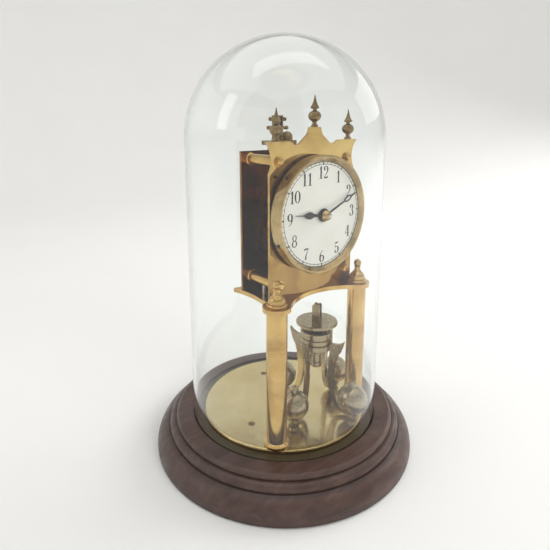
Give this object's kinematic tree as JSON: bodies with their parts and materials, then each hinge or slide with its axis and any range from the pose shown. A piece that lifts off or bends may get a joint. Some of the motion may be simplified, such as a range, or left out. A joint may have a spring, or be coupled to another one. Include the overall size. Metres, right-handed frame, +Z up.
{
  "type": "anniversary clock",
  "caption": "Torsion clock with an openwork movement on two columns over a rotary ball pendulum, on a turned wooden base under a tall glass dome.",
  "frame": {"origin": "centre of the underside of the wooden base", "axes": "+Z up, the dial faces -Y, +X to the right of someone facing the dial"},
  "size_m": [0.2, 0.2, 0.3055],
  "materials": {
    "wood": "dark stained and waxed",
    "plate_brass": "polished",
    "brass": "polished",
    "satin_brass": "satin",
    "inner_brass": "tarnished",
    "aged_brass": "lightly aged",
    "pendulum_brass": "aged",
    "wheel_brass": "fine brushed",
    "steel": "fine brushed",
    "dark_steel": "blued",
    "hand_steel": "black",
    "dial_enamel": "enamelled",
    "glass": "clear"
  },
  "bodies": {
    "case": {"wooden_base": "wood", "base_plate": "plate_brass", "base_plate_screws": "aged_brass", "column_left": "brass", "column_right": "brass", "tie_rods": "steel", "column_nuts": "steel", "column_finial_left": "brass", "column_finial_right": "brass", "platform": "brass", "platform_screws": "steel", "front_plate": "brass", "back_plate": "inner_brass", "plate_pillars": "brass", "frame_screws": "brass", "crown_finial_left": "aged_brass", "crown_finial_centre": "aged_brass", "crown_finial_right": "aged_brass", "dial_drum": "satin_brass", "drum_screws": "dark_steel", "bezel": "satin_brass", "dial": "dial_enamel", "suspension_bracket": "aged_brass", "bracket_nut": "aged_brass"},
    "dome": {"glass_dome": "glass"},
    "centre": {"centre_arbor": "steel", "centre_wheel": "wheel_brass", "cannon_pinion": "wheel_brass", "minute_hand": "hand_steel", "hand_nut": "satin_brass"},
    "hour": {"hour_wheel": "wheel_brass", "hour_hand": "hand_steel"},
    "minute_work": {"minute_wheel": "wheel_brass"},
    "second": {"second_wheel": "wheel_brass", "second_arbor": "steel"},
    "barrel_group": {"barrel": "wheel_brass", "barrel_cover": "wheel_brass", "mainspring": "dark_steel"},
    "fourth": {"fourth_wheel": "wheel_brass", "fourth_arbor": "steel"},
    "escape": {"escape_wheel": "wheel_brass", "escape_arbor": "steel"},
    "winding": {"barrel_arbor": "steel", "ratchet_wheel": "steel"},
    "click_group": {"click": "steel"},
    "anchor_group": {"anchor": "steel", "anchor_arbor": "steel"},
    "fork_group": {"fork": "aged_brass"},
    "torsion": {"lower_block": "aged_brass"},
    "saddle_group": {"saddle": "aged_brass", "saddle_screws": "aged_brass", "top_block": "aged_brass", "suspension_spring": "dark_steel"},
    "carrier": {"pendulum_finial": "pendulum_brass"},
    "pendulum": {"pendulum_hub": "pendulum_brass", "pendulum_hook": "pendulum_brass", "pendulum_arms": "pendulum_brass", "pendulum_balls": "pendulum_brass", "ball_screws": "pendulum_brass"},
    "rating": {"rating_disc": "pendulum_brass"}
  },
  "joints": [
    {"name": "dome_lift", "type": "slide", "parent": "case", "child": "dome", "axis": [0, 0, 1], "range_m": [0, 0.3]},
    {"name": "centre_turn", "type": "hinge", "parent": "case", "child": "centre", "pos_m": [0, -0.016, 0.184], "axis": [0, 1, 0], "continuous": true},
    {"name": "hour_turn", "type": "hinge", "parent": "case", "child": "hour", "pos_m": [0, -0.038, 0.184], "axis": [0, 1, 0], "continuous": true},
    {"name": "minute_wheel_turn", "type": "hinge", "parent": "case", "child": "minute_work", "pos_m": [0.006, -0.035, 0.17361], "axis": [0, 1, 0], "continuous": true},
    {"name": "second_turn", "type": "hinge", "parent": "case", "child": "second", "pos_m": [-0.00702, -0.016, 0.16874], "axis": [0, 1, 0], "continuous": true},
    {"name": "barrel_turn", "type": "hinge", "parent": "case", "child": "barrel_group", "pos_m": [0.0105, -0.016, 0.1535], "axis": [0, 1, 0], "continuous": true},
    {"name": "fourth_turn", "type": "hinge", "parent": "case", "child": "fourth", "pos_m": [0.0112, -0.016, 0.1952], "axis": [0, 1, 0], "continuous": true},
    {"name": "escape_turn", "type": "hinge", "parent": "case", "child": "escape", "pos_m": [0, -0.016, 0.20336], "axis": [0, 1, 0], "continuous": true},
    {"name": "winding_turn", "type": "hinge", "parent": "case", "child": "winding", "pos_m": [0.0105, -0.016, 0.1535], "axis": [0, 1, 0], "continuous": true},
    {"name": "click_turn", "type": "hinge", "parent": "case", "child": "click_group", "pos_m": [0.0215, 0.003, 0.1595], "axis": [0, -1, 0], "range_deg": [0, 12]},
    {"name": "torsion_turn", "type": "hinge", "parent": "case", "child": "torsion", "pos_m": [0, 0.008, 0.118], "axis": [0, 0, 1], "range_deg": [-180, 180]},
    {"name": "fork_turn", "type": "hinge", "parent": "case", "child": "fork_group", "pos_m": [0, 0.008, 0.2264], "axis": [0, 0, 1], "range_deg": [-5.5, 5.5]},
    {"name": "anchor_turn", "type": "hinge", "parent": "case", "child": "anchor_group", "pos_m": [0, -0.016, 0.2166], "axis": [0, 1, 0], "range_deg": [-2.75, 2.75]},
    {"name": "beat_set", "type": "hinge", "parent": "case", "child": "saddle_group", "pos_m": [0, 0.008, 0.236], "axis": [0, 0, 1], "range_deg": [-8, 8]},
    {"name": "pendulum_carry", "type": "slide", "parent": "case", "child": "carrier", "axis": [-0.44, 0.8801, 0.1784], "range_m": [0, 0.03363]},
    {"name": "pendulum_turn", "type": "hinge", "parent": "carrier", "child": "pendulum", "pos_m": [0.0148, -0.0216, 0.06], "axis": [0, 0, 1], "range_deg": [-16, 3]},
    {"name": "rating_disc_turn", "type": "hinge", "parent": "pendulum", "child": "rating", "pos_m": [0.0148, -0.0216, 0.096], "axis": [0, 0, 1], "range_deg": [-180, 180]}
  ],
  "couplings": [
    {"joint": "hour_turn", "follows": "centre_turn", "ratio": 0.083333},
    {"joint": "minute_wheel_turn", "follows": "centre_turn", "ratio": -0.33333},
    {"joint": "second_turn", "follows": "centre_turn", "ratio": -0.16667},
    {"joint": "barrel_turn", "follows": "centre_turn", "ratio": 0.02193},
    {"joint": "fourth_turn", "follows": "centre_turn", "ratio": -5},
    {"joint": "escape_turn", "follows": "centre_turn", "ratio": 16},
    {"joint": "fork_turn", "follows": "torsion_turn", "ratio": 0.03},
    {"joint": "anchor_turn", "follows": "torsion_turn", "ratio": 0.015}
  ]
}
